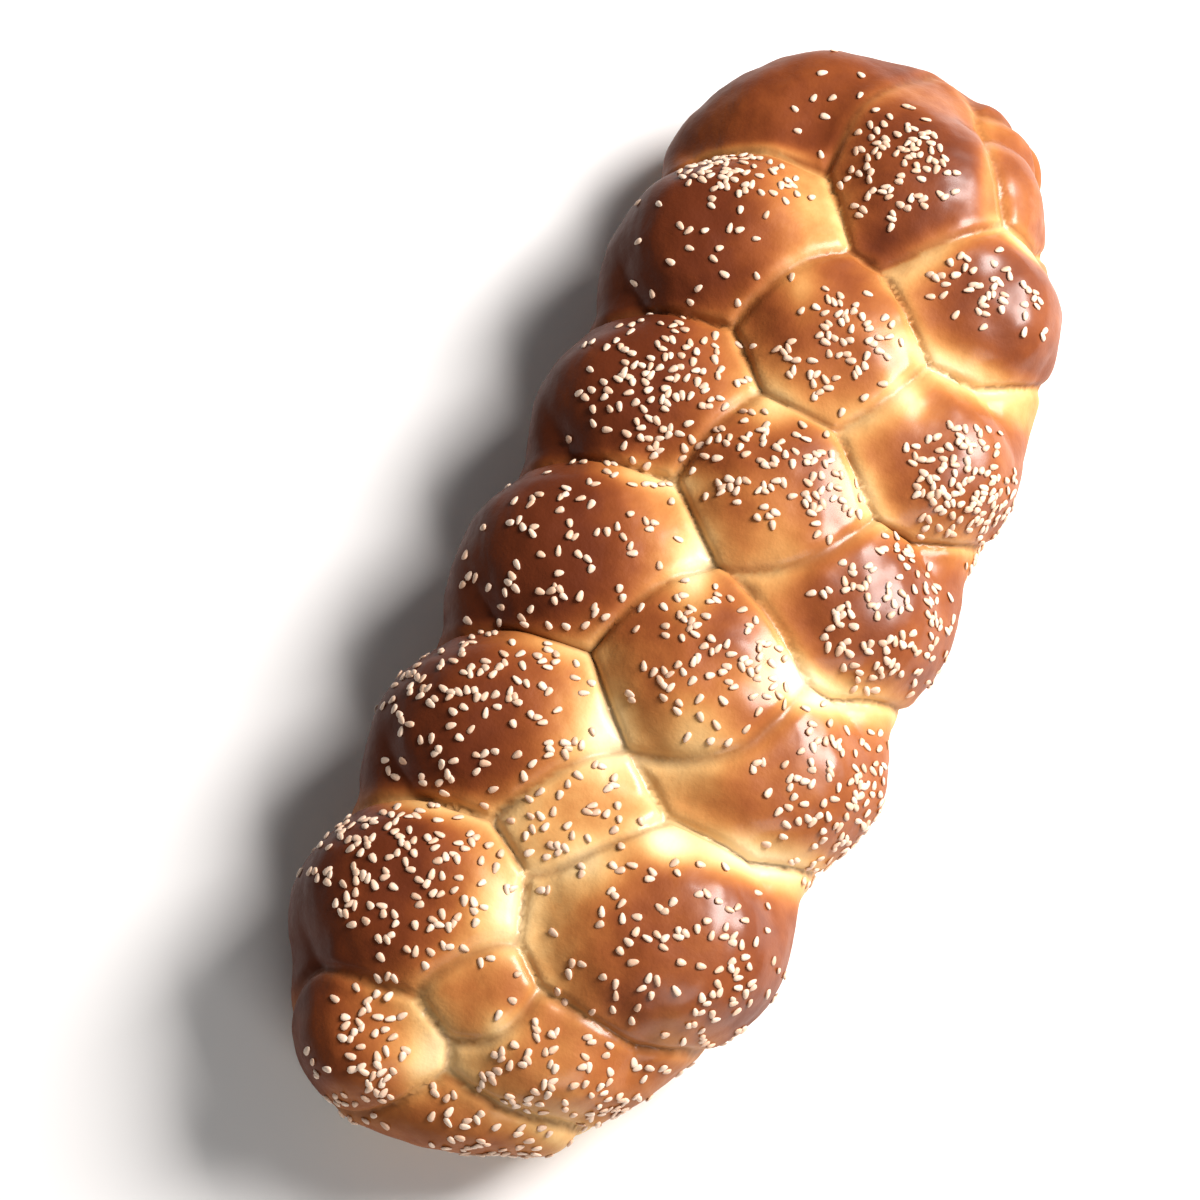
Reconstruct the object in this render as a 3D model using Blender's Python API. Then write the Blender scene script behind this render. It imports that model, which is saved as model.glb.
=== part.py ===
"""Braided loaf: four ropes of dough plaited flat, risen together and baked into one piece.

Units are metres, +Z is up, and the loaf lies along Y with its flat base on z = 0. The plait
shows three columns of lobes on top: left (L), centre (C) and right (R). A rope that climbs to
the right passes over in the left and right columns, and under in the centre; one that climbs
to the left does the opposite. Each rope has a varying girth, and follows a smooth curve through
the crests, dips and turns of its own route. The ropes are then fused and trimmed flat.
"""

import math
from dataclasses import dataclass, replace

import bmesh
import bpy
import numpy as np

MM = 0.001

# Driving sizes, in millimetres
FLATTENING = 0.80  # height of a rope's section over its width: dough sags as it proves
FULLNESS = 2.8  # the power of its outline: 2 is an ellipse, and more is fuller at the shoulders
DIP_HEIGHT, DIP_RADIUS = 20, 27  # centre and half width of a rope where it passes under
TURN_HEIGHT, TURN_RADIUS = 31, 25  # the same where it turns back at the loaf's side
TURN_OUT = {"L": -11, "R": 9}  # how far outside the crests a rope turns
INNER_SHOULDER = (0.76, 6)  # girth factor and drop at the crest's inner end
OUTER_SHOULDER = (0.86, 7)  # the same at the outer end of a side lobe
INNER_REACH, OUTER_PULL = 7, 6  # how much further in, and less far out, than its half length
FULL_HEIGHT, FULL_RADIUS = 68, 28  # a lobe at least this high and wide has a full dip below it

# The fused inside of the loaf, a rounded slab: centre, half sizes and corner power
CORE_CENTRE, CORE_HALF, CORE_POWER = (4, 8, 18), (62, 174, 27), 3.0
# Dough that fills the valley between the two ropes at the far end: centre and half sizes
KNOT_CENTRE, KNOT_HALF = (-13, 171, 34), (27, 27, 21)

STEP = 3.0  # spacing of the points along a rope
BEAD_SPACING = 2  # a ball sits on every second point
VOXEL = 1.9 * MM
SMOOTHING_PASSES = 3
TRIANGLES = 9400


@dataclass(frozen=True)
class Lobe:
    """The crest of a rope where it passes over: place, top height, half width, heading, half length."""

    x: float
    y: float
    top: float
    radius: float
    heading: float
    half: float


# Each column as an even plait would have it: its first lobe, and the pitch down the loaf
COLUMNS = {
    "L": (Lobe(x=-31, y=115, top=70, radius=32, heading=25, half=22), 60),
    "C": (Lobe(x=11, y=152, top=73, radius=30, heading=-38, half=16), 59),
    "R": (Lobe(x=44, y=131, top=69, radius=30, heading=23, half=20), 58),
}
ROWS = {"L": range(1, 7), "C": range(1, 8), "R": range(0, 7)}

# Where this hand-made loaf departs from the even plait
CHANGES = {
    "L1": {"x": -36, "radius": 35, "heading": 30, "half": 20},
    "L2": {"x": -34, "top": 69},
    "L3": {"y": -3, "radius": 34, "top": 71, "half": 23},
    "L4": {"half": 23},
    "L5": {"y": -126, "radius": 33, "heading": 22, "half": 19},
    "L6": {"x": -26, "y": -165, "top": 61, "radius": 25, "heading": 32, "half": 9},
    "C1": {"y": 155, "top": 69, "heading": -66, "half": 18},
    "C2": {"x": 8},
    "C3": {"x": 13, "y": 39},
    "C4": {"x": 17, "y": -25, "top": 75, "radius": 32, "half": 13},
    "C5": {"x": 5, "y": -83, "top": 68, "radius": 27, "heading": -28, "half": 15},
    "C6": {"x": -4, "y": -140, "top": 66, "radius": 18, "heading": -20, "half": 10},
    "C7": {"x": 6, "y": -169, "top": 51, "radius": 20, "heading": 20, "half": 14},
    "R0": {"x": 30, "y": 168, "top": 58, "radius": 24, "heading": 30, "half": 8},
    "R1": {"x": 41, "y": 129, "top": 68, "heading": 20, "half": 15},
    "R2": {"x": 47, "y": 74, "heading": 20, "half": 17},
    "R3": {"y": 16, "radius": 32},
    "R4": {"x": 44, "y": -43, "radius": 31, "heading": 26, "half": 23},
    "R5": {"x": 38, "y": -103, "top": 73, "radius": 35, "half": 20},
    "R6": {"x": 25, "y": -147, "top": 62, "radius": 22, "heading": 18, "half": 19},
}
# The broad lobe that folds over the far end, outside the three columns
END_LOBE = Lobe(x=-29, y=168, top=58, radius=37, heading=40, half=20)

# The route of each rope from the far end to the near one: "over" and "under" name a lobe,
# "turn" a side and the two rows it lies between, and "at" a point with its radius.
ROPES = (
    (
        ("at", (30, 190, 24, 14)),
        ("under", "R0"), ("over", "R1"), ("under", "C2"), ("over", "L2"), ("turn", "L", 2, 3),
        ("under", "L3"), ("over", "C4"), ("under", "R4"), ("turn", "R", 4, 5),
        ("over", "R5"), ("under", "C6"), ("over", "L6"),
        ("at", (-24, -170, 22, 16)),
    ),
    (
        ("at", (2, 192, 32, 18)),
        ("over", "C1"), ("under", "R1"), ("turn", "R", 1, 2), ("over", "R2"), ("under", "C3"),
        ("over", "L3"), ("turn", "L", 3, 4), ("under", "L4"), ("over", "C5"), ("under", "R5"),
        ("turn", "R", 5, 6), ("over", "R6"), ("under", "L6"),
        ("at", (-16, -168, 22, 16)),
    ),
    (
        ("at", (14, 190, 28, 20)),
        ("over", "end"),
        ("at", (-46, 134, 30, 22)),
        ("under", "L1"), ("over", "C2"), ("under", "R2"), ("turn", "R", 2, 3), ("over", "R3"),
        ("under", "C4"), ("over", "L4"), ("turn", "L", 4, 5), ("under", "L5"), ("over", "C6"),
        ("under", "R6"),
        ("at", (26, -156, 22, 16)),
    ),
    (
        ("at", (22, 186, 32, 18)),
        ("over", "R0"), ("under", "C1"), ("over", "L1"), ("turn", "L", 1, 2), ("under", "L2"),
        ("over", "C3"), ("under", "R3"), ("turn", "R", 3, 4), ("over", "R4"), ("under", "C5"),
        ("over", "L5"), ("turn", "L", 5, 6), ("under", "L6"), ("over", "C7"),
        ("at", (26, -160, 22, 14)),
    ),
)

CRUST_COLOUR = (0.48, 0.19, 0.055, 1.0)
CRUST_ROUGHNESS = 0.35


def all_lobes():
    """Every named lobe: the even plait's, with this loaf's own changes."""
    lobes = {"end": END_LOBE}
    for column, (first, pitch) in COLUMNS.items():
        for row in ROWS[column]:
            name = f"{column}{row}"
            even = replace(first, y=first.y - pitch * (row - 1))
            lobes[name] = replace(even, **CHANGES.get(name, {}))
    return lobes


def crest_points(name, lobe, before):
    """Three points along a crest, as (x, y, z, radius), the one nearest to `before` first."""
    along = (math.cos(math.radians(lobe.heading)), math.sin(math.radians(lobe.heading)))
    height = lobe.top - lobe.radius * FLATTENING
    points = []
    for side in (1, 0, -1):
        girth, drop = INNER_SHOULDER if side else (1, 0)
        reach = side * (lobe.half + INNER_REACH)
        if name[0] in TURN_OUT and side * TURN_OUT[name[0]] > 0:
            girth, drop = OUTER_SHOULDER
            reach = side * (lobe.half - OUTER_PULL)
        points.append(
            (
                lobe.x + reach * along[0],
                lobe.y + reach * along[1],
                height - drop,
                lobe.radius * girth,
            )
        )
    far_first = math.dist(before[:2], points[0][:2]) > math.dist(before[:2], points[2][:2])
    return points[::-1] if far_first else points


def dip_point(lobe):
    """The point where a rope passes under a lobe, smaller under a small lobe."""
    scale = min(1, lobe.top / FULL_HEIGHT) * min(1, lobe.radius / FULL_RADIUS)
    return lobe.x, lobe.y, DIP_HEIGHT * scale, DIP_RADIUS * scale


def turn_point(lobes, side, row, next_row):
    """The point where a rope turns back at the loaf's side, between two rows."""
    first, second = lobes[f"{side}{row}"], lobes[f"{side}{next_row}"]
    x = (first.x + second.x) / 2 + TURN_OUT[side]
    return x, (first.y + second.y) / 2, TURN_HEIGHT, TURN_RADIUS


def route_points(route, lobes):
    """The points of one rope's route, each as (x, y, z, radius)."""
    points = []
    for kind, *where in route:
        if kind == "at":
            points.append(where[0])
        elif kind == "over":
            points += crest_points(where[0], lobes[where[0]], points[-1])
        elif kind == "under":
            points.append(dip_point(lobes[where[0]]))
        else:
            points.append(turn_point(lobes, *where))
    return np.array(points, float)


def smooth_curve(points, per_span=20):
    """A centripetal Catmull-Rom curve through the points."""
    padded = np.vstack([2 * points[0] - points[1], points, 2 * points[-1] - points[-2]])
    spans = np.linalg.norm(np.diff(padded[:, :3], axis=0), axis=1) ** 0.5
    knots = np.concatenate([[0], np.cumsum(spans)])
    curve = []
    for i in range(1, len(padded) - 2):
        t0, t1, t2, t3 = knots[i - 1 : i + 3]
        p0, p1, p2, p3 = padded[i - 1 : i + 3]
        t = np.linspace(t1, t2, per_span, endpoint=False)[:, None]
        a1 = ((t1 - t) * p0 + (t - t0) * p1) / (t1 - t0)
        a2 = ((t2 - t) * p1 + (t - t1) * p2) / (t2 - t1)
        a3 = ((t3 - t) * p2 + (t - t2) * p3) / (t3 - t2)
        b1 = ((t2 - t) * a1 + (t - t0) * a2) / (t2 - t0)
        b2 = ((t3 - t) * a2 + (t - t1) * a3) / (t3 - t1)
        curve.append(((t2 - t) * b1 + (t - t1) * b2) / (t2 - t1))
    curve.append(points[-1:])
    return np.vstack(curve)


def even_steps(curve, step):
    """The same curve with its points evenly spaced."""
    lengths = np.linalg.norm(np.diff(curve[:, :3], axis=0), axis=1)
    along = np.concatenate([[0], np.cumsum(lengths)])
    at = np.linspace(0, along[-1], int(along[-1] / step) + 1)
    return np.stack([np.interp(at, along, column) for column in curve.T], axis=1)


def helper(name, data):
    """An object that only lends its shape to the loaf."""
    obj = bpy.data.objects.new(name, data)
    obj.hide_render = True
    obj.display_type = "WIRE"
    bpy.context.scene.collection.objects.link(obj)
    return obj


def bead_shape():
    """The points and faces of one flattened ball whose section is fuller than an ellipse."""
    ball = bmesh.new()
    bmesh.ops.create_icosphere(ball, subdivisions=3, radius=1)
    points = np.array([vertex.co for vertex in ball.verts])
    faces = np.array([[vertex.index for vertex in face.verts] for face in ball.faces])
    ball.free()
    flat, up = np.hypot(points[:, 0], points[:, 1]), np.abs(points[:, 2])
    points /= ((flat**FULLNESS + up**FULLNESS) ** (1 / FULLNESS))[:, None]
    points[:, 2] *= FLATTENING
    return points, faces


def rope(name, line):
    """A rope as balls strung closely along its centre line, each of the girth it has there."""
    points, faces = bead_shape()
    strung = [*line[::BEAD_SPACING], line[-1]]
    corners = np.vstack([(ball[:3] + ball[3] * points) * MM for ball in strung])
    sides = np.vstack([faces + number * len(points) for number in range(len(strung))])
    mesh = bpy.data.meshes.new(name)
    mesh.from_pydata(corners.tolist(), [], sides.tolist())
    return helper(name, mesh)


def rounded_block(name, centre, half, power):
    """A sphere pushed out towards a block's corners: power 2 leaves a plain ellipsoid."""
    mesh = bpy.data.meshes.new(name)
    ball = bmesh.new()
    bmesh.ops.create_uvsphere(ball, u_segments=64, v_segments=32, radius=1)
    for vertex in ball.verts:
        size = sum(abs(c) ** power for c in vertex.co) ** (1 / power)
        vertex.co = [(m + h * c / size) * MM for m, h, c in zip(centre, half, vertex.co)]
    ball.to_mesh(mesh)
    ball.free()
    return helper(name, mesh)


def joined(name, sources):
    """One object that holds the sources' meshes as they stand, and the sources removed."""
    bpy.context.view_layer.update()
    graph = bpy.context.evaluated_depsgraph_get()
    heap = bmesh.new()
    for source in sources:
        mesh = bpy.data.meshes.new_from_object(source.evaluated_get(graph))
        mesh.transform(source.matrix_world)
        heap.from_mesh(mesh)
        bpy.data.meshes.remove(mesh)
    mesh = bpy.data.meshes.new(name)
    heap.to_mesh(mesh)
    heap.free()
    for source in sources:
        bpy.data.objects.remove(source)
    whole = bpy.data.objects.new(name, mesh)
    bpy.context.scene.collection.objects.link(whole)
    return whole


def tray_cutter():
    """The block below z = 0 that trims the loaf's base flat."""
    bpy.ops.mesh.primitive_cube_add(size=1)
    tray = bpy.context.object
    tray.name = "tray_cutter"
    tray.scale = (0.6, 0.8, 0.1)
    tray.location.z = -0.05
    tray.hide_render = True
    tray.display_type = "WIRE"
    return tray


def bake(loaf, tray):
    """Fuses the ropes into one body, smooths and lightens it, and trims its base."""
    fuse = loaf.modifiers.new("fuse", "REMESH")
    fuse.mode = "VOXEL"
    fuse.voxel_size = VOXEL
    soften = loaf.modifiers.new("soften", "SMOOTH")
    soften.iterations = SMOOTHING_PASSES
    applied(loaf)
    lighten = loaf.modifiers.new("lighten", "DECIMATE")
    lighten.ratio = TRIANGLES / (2 * len(loaf.data.polygons))
    trim = loaf.modifiers.new("trim", "BOOLEAN")
    trim.operation = "DIFFERENCE"
    trim.solver = "EXACT"
    trim.object = tray
    applied(loaf)
    bpy.data.objects.remove(tray)


def applied(loaf):
    """Replaces the loaf's mesh by the result of its modifiers."""
    bpy.context.view_layer.update()
    graph = bpy.context.evaluated_depsgraph_get()
    mesh = bpy.data.meshes.new_from_object(loaf.evaluated_get(graph))
    loaf.modifiers.clear()
    loaf.data = mesh


def centre_on_origin(loaf):
    """Moves the mesh sideways so that its box is centred on the origin."""
    points = np.array([vertex.co for vertex in loaf.data.vertices])
    middle = (points.min(axis=0) + points.max(axis=0)) / 2
    for vertex in loaf.data.vertices:
        vertex.co.x -= middle[0]
        vertex.co.y -= middle[1]


def crust_material():
    """Browned crust under an egg wash."""
    material = bpy.data.materials.new("crust")
    material.use_nodes = True
    shader = material.node_tree.nodes["Principled BSDF"]
    shader.inputs["Base Color"].default_value = CRUST_COLOUR
    shader.inputs["Roughness"].default_value = CRUST_ROUGHNESS
    shader.inputs["Metallic"].default_value = 0.0
    return material


def main():
    for obj in list(bpy.data.objects):
        bpy.data.objects.remove(obj)
    lobes = all_lobes()
    pieces = []
    for number, route in enumerate(ROPES):
        line = even_steps(smooth_curve(route_points(route, lobes)), STEP)
        pieces.append(rope(f"rope_{number}", line))
    pieces.append(rounded_block("core", CORE_CENTRE, CORE_HALF, CORE_POWER))
    pieces.append(rounded_block("knot", KNOT_CENTRE, KNOT_HALF, 2))
    loaf = joined("loaf", pieces)
    bake(loaf, tray_cutter())
    centre_on_origin(loaf)
    loaf.data.materials.append(crust_material())
    loaf.data.shade_smooth()


main()
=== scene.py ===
"""Looks of a braided loaf with sesame seeds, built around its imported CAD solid.

The plait, the dough and the toppings are worked out in millimetres, in the plait's own plan,
and are turned into metres in the row frame when a mesh is made.
"""

import sys
import logging
import math
from dataclasses import dataclass, field, replace
from enum import Enum

import bmesh
import bpy
import numpy as np
from mathutils import Matrix, Vector, noise


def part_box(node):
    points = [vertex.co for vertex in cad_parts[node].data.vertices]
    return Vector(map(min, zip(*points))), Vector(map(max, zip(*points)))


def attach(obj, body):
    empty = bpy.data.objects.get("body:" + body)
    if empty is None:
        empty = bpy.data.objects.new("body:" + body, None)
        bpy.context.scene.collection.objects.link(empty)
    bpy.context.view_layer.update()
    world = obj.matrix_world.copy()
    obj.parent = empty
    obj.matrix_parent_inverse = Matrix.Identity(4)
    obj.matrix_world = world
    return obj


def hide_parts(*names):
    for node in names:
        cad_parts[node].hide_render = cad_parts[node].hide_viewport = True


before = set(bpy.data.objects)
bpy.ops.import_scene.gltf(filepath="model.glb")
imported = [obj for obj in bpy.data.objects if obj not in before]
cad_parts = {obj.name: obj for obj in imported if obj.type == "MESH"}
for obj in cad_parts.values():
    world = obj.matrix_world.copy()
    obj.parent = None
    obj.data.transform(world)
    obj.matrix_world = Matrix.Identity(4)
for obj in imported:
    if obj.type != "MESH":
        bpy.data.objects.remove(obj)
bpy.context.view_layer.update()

MM = 0.001
LOG = logging.getLogger("braided_loaf")

Array = np.ndarray


class Column(Enum):
    """The three columns of lobes on top of the plait, and the lobe folded over its far end."""

    LEFT = "L"
    CENTRE = "C"
    RIGHT = "R"
    END = "E"


@dataclass(frozen=True)
class Lobe:
    """The crest of a rope where it passes over: place, top, half width, heading, half length."""

    x: float
    y: float
    top: float
    radius: float
    heading: float
    half: float
    bake: float = 0.7

    def along(self) -> tuple[float, float]:
        """The crest's direction in plan, as a unit vector."""
        return math.cos(math.radians(self.heading)), math.sin(math.radians(self.heading))


@dataclass(frozen=True)
class Patch:
    """A soft-edged oval region in plan: centre, half sizes, heading of the first, and amount."""

    x: float
    y: float
    reach: float
    width: float
    heading: float
    amount: float

    def cover(self, points: Array) -> Array:
        """How much of the patch each point has, from 0 to its amount.

        Args:
            points: Points in the plait's plan, one a row.

        Returns:
            One value a point.
        """
        cos, sin = math.cos(math.radians(self.heading)), math.sin(math.radians(self.heading))
        dx, dy = points[:, 0] - self.x, points[:, 1] - self.y
        along, across = dx * cos + dy * sin, dy * cos - dx * sin
        return self.amount * np.exp(-((along / self.reach) ** 2) - (across / self.width) ** 2)


def smooth_step(value: Array, start: float, end: float) -> Array:
    """Eases from 0 at start to 1 at end.

    Args:
        value: The values to ease.
        start: Where the result leaves 0.
        end: Where the result reaches 1.

    Returns:
        The eased values.
    """
    t = np.clip((value - start) / (end - start), 0.0, 1.0)
    return t * t * (3.0 - 2.0 * t)


@dataclass(frozen=True)
class Plait:
    """The four ropes of dough, by the lobes that they show and the routes that they take."""

    flattening: float = 0.80
    dip: tuple[float, float] = (20, 27)
    turn: tuple[float, float] = (31, 25)
    turn_out: dict[str, float] = field(default_factory=lambda: {"L": -11, "R": 9})
    inner_shoulder: tuple[float, float] = (0.76, 6)
    inner_reach: float = 7
    outer_pull: float = 6
    outer_shoulder: tuple[float, float] = (0.86, 7)
    full_height: float = 68
    full_radius: float = 28
    step: float = 2.5
    columns: dict[str, tuple[Lobe, float]] = field(
        default_factory=lambda: {
            # The left column's deeper bake is partly painted shade: its lobes' outer sides face
            # away from the light.
            "L": (Lobe(-31, 115, 70, 32, 25, 22, 0.95), 60),
            "C": (Lobe(11, 152, 73, 30, -38, 16, 0.78), 59),
            "R": (Lobe(44, 131, 69, 30, 23, 20, 0.76), 58),
        }
    )
    rows: dict[str, range] = field(
        default_factory=lambda: {"L": range(1, 7), "C": range(1, 8), "R": range(0, 7)}
    )
    changes: dict[str, dict[str, float]] = field(
        default_factory=lambda: {
            "L1": {"x": -36, "radius": 35, "heading": 30, "half": 20},
            "L2": {"x": -34, "top": 69},
            "L3": {"y": -3, "radius": 34, "top": 71, "half": 23},
            "L4": {"bake": 0.88, "half": 23},
            "L5": {"y": -126, "radius": 33, "heading": 22, "half": 19, "bake": 1.0},
            "L6": {"x": -26, "y": -165, "top": 61, "radius": 25, "heading": 32, "half": 9,
                   "bake": 0.8},
            "C1": {"y": 155, "top": 69, "heading": -66, "half": 18, "bake": 0.9},
            "C2": {"x": 8},
            "C3": {"x": 13, "y": 39},
            "C4": {"x": 17, "y": -25, "top": 75, "radius": 32, "half": 13},
            "C5": {"x": 5, "y": -83, "top": 68, "radius": 27, "heading": -28, "half": 15,
                   "bake": 0.42},
            "C6": {"x": -4, "y": -140, "top": 66, "radius": 18, "heading": -20, "half": 10,
                   "bake": 0.6},
            "C7": {"x": 6, "y": -169, "top": 51, "radius": 20, "heading": 20, "half": 14,
                   "bake": 0.55},
            "R0": {"x": 30, "y": 168, "top": 58, "radius": 24, "heading": 30, "half": 8,
                   "bake": 0.7},
            "R1": {"x": 41, "y": 129, "top": 68, "heading": 20, "half": 15, "bake": 0.82},
            "R2": {"x": 47, "y": 74, "heading": 20, "half": 17},
            "R3": {"y": 16, "radius": 32, "bake": 0.78},
            "R4": {"x": 44, "y": -43, "radius": 31, "heading": 26, "half": 23, "bake": 0.7},
            "R5": {"x": 38, "y": -103, "top": 73, "radius": 35, "half": 20, "bake": 0.82},
            "R6": {"x": 25, "y": -147, "top": 62, "radius": 22, "heading": 18, "half": 19,
                   "bake": 0.6},
        }
    )
    end_lobe: Lobe = Lobe(-29, 168, 58, 37, 40, 20, 0.86)
    routes: tuple[tuple[str | tuple[float, float, float, float], ...], ...] = (
        ((30, 190, 24, 14), "under R0", "over R1", "under C2", "over L2", "turn L23",
         "under L3", "over C4", "under R4", "turn R45", "over R5", "under C6", "over L6",
         (-24, -170, 22, 16)),
        ((2, 192, 32, 18), "over C1", "under R1", "turn R12", "over R2", "under C3",
         "over L3", "turn L34", "under L4", "over C5", "under R5", "turn R56", "over R6",
         "under L6", (-16, -168, 22, 16)),
        ((14, 190, 28, 20), "over E0", (-46, 134, 30, 22), "under L1", "over C2",
         "under R2", "turn R23", "over R3", "under C4", "over L4", "turn L45", "under L5",
         "over C6", "under R6", (26, -156, 22, 16)),
        ((22, 186, 32, 18), "over R0", "under C1", "over L1", "turn L12", "under L2",
         "over C3", "under R3", "turn R34", "over R4", "under C5", "over L5", "turn L56",
         "under L6", "over C7", (26, -160, 22, 14)),
    )

    def lobes(self) -> dict[str, Lobe]:
        """Every lobe by name: the even plait's, with this loaf's own changes."""
        made = {"E0": self.end_lobe}
        for column, (first, pitch) in self.columns.items():
            for row in self.rows[column]:
                name = f"{column}{row}"
                even = replace(first, y=first.y - pitch * (row - 1))
                made[name] = replace(even, **self.changes.get(name, {}))
        return made

    def rope_lobes(self, number: int) -> list[str]:
        """Names of the lobes that one rope shows."""
        words = [stop for stop in self.routes[number] if isinstance(stop, str)]
        return [word.split()[1] for word in words if word.startswith("over")]

    def crest_points(self, name: str, lobe: Lobe, before: tuple[float, ...]) -> list:
        """Three points along a crest.

        Args:
            name: The lobe's name, whose first letter is its column.
            lobe: The lobe.
            before: The route's last point, next to which the crest starts.

        Returns:
            Points as (x, y, z, radius).
        """
        cos, sin = lobe.along()
        height = lobe.top - lobe.radius * self.flattening
        points = []
        for side in (1, 0, -1):
            girth, drop = self.inner_shoulder if side else (1, 0)
            reach = side * (lobe.half + self.inner_reach)
            if side * self.turn_out.get(name[0], 0) > 0:
                girth, drop = self.outer_shoulder
                reach = side * (lobe.half - self.outer_pull)
            place = (lobe.x + reach * cos, lobe.y + reach * sin, height - drop)
            points.append((*place, lobe.radius * girth))
        far_first = math.dist(before[:2], points[0][:2]) > math.dist(before[:2], points[2][:2])
        return points[::-1] if far_first else points

    def route_points(self, number: int, lobes: dict[str, Lobe]) -> Array:
        """The points that one rope's route passes through.

        Args:
            number: Which rope.
            lobes: Every lobe by name.

        Returns:
            Rows of (x, y, z, radius).
        """
        points: list = []
        for stop in self.routes[number]:
            if not isinstance(stop, str):
                points.append(stop)
                continue
            kind, where = stop.split()
            if kind == "over":
                points += self.crest_points(where, lobes[where], points[-1])
            elif kind == "under":
                lobe = lobes[where]
                scale = min(1, lobe.top / self.full_height)
                scale *= min(1, lobe.radius / self.full_radius)
                points.append((lobe.x, lobe.y, self.dip[0] * scale, self.dip[1] * scale))
            else:
                side, row, next_row = where
                first, second = lobes[side + row], lobes[side + next_row]
                x = (first.x + second.x) / 2 + self.turn_out[side]
                points.append((x, (first.y + second.y) / 2, *self.turn))
        return np.array(points, float)

    def centre_lines(self) -> list[Array]:
        """Each rope's centre line, as evenly spaced rows of (x, y, z, radius)."""
        lobes = self.lobes()
        routes = range(len(self.routes))
        return [even_steps(smooth_curve(self.route_points(n, lobes)), self.step) for n in routes]


def smooth_curve(points: Array, per_span: int = 20) -> Array:
    """A centripetal Catmull-Rom curve.

    Args:
        points: The points that the curve passes through, one a row.
        per_span: How many points each span is given.

    Returns:
        The curve's points, with as many columns as the input.
    """
    padded = np.vstack([2 * points[0] - points[1], points, 2 * points[-1] - points[-2]])
    spans = np.linalg.norm(np.diff(padded[:, :3], axis=0), axis=1) ** 0.5
    knots = np.concatenate([[0], np.cumsum(spans)])
    curve = []
    for i in range(1, len(padded) - 2):
        t0, t1, t2, t3 = knots[i - 1 : i + 3]
        p0, p1, p2, p3 = padded[i - 1 : i + 3]
        t = np.linspace(t1, t2, per_span, endpoint=False)[:, None]
        a1 = ((t1 - t) * p0 + (t - t0) * p1) / (t1 - t0)
        a2 = ((t2 - t) * p1 + (t - t1) * p2) / (t2 - t1)
        a3 = ((t3 - t) * p2 + (t - t2) * p3) / (t3 - t2)
        b1 = ((t2 - t) * a1 + (t - t0) * a2) / (t2 - t0)
        b2 = ((t3 - t) * a2 + (t - t1) * a3) / (t3 - t1)
        curve.append(((t2 - t) * b1 + (t - t1) * b2) / (t2 - t1))
    curve.append(points[-1:])
    return np.vstack(curve)


def even_steps(curve: Array, step: float) -> Array:
    """The same curve with its points evenly spaced.

    Args:
        curve: Points, one a row, whose first three columns are a place.
        step: The spacing.

    Returns:
        The respaced points.
    """
    lengths = np.linalg.norm(np.diff(curve[:, :3], axis=0), axis=1)
    along = np.concatenate([[0], np.cumsum(lengths)])
    at = np.linspace(0, along[-1], int(along[-1] / step) + 1)
    return np.stack([np.interp(at, along, column) for column in curve.T], axis=1)


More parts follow.
